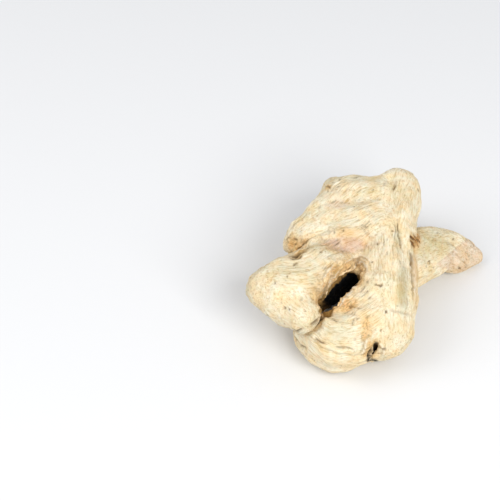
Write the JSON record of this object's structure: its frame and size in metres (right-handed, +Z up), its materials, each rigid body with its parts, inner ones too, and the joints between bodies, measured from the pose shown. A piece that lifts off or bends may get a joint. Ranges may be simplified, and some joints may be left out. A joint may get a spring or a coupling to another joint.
{
  "type": "ginger root",
  "caption": "Dried ginger rhizome with blunt finger-like lobes round a slanting hole, lying on its side.",
  "frame": {"origin": "on the surface it lies on, under the middle of its outline", "axes": "+Z up, +X along the end of the pointed side finger, +Y away from the blunt bulb at the front"},
  "size_m": [0.0959, 0.0904, 0.0378],
  "materials": {
    "skin": "matte, dry and chalky, with a fibrous grain"
  },
  "bodies": {
    "root": {"ginger_root": "skin"}
  },
  "joints": []
}
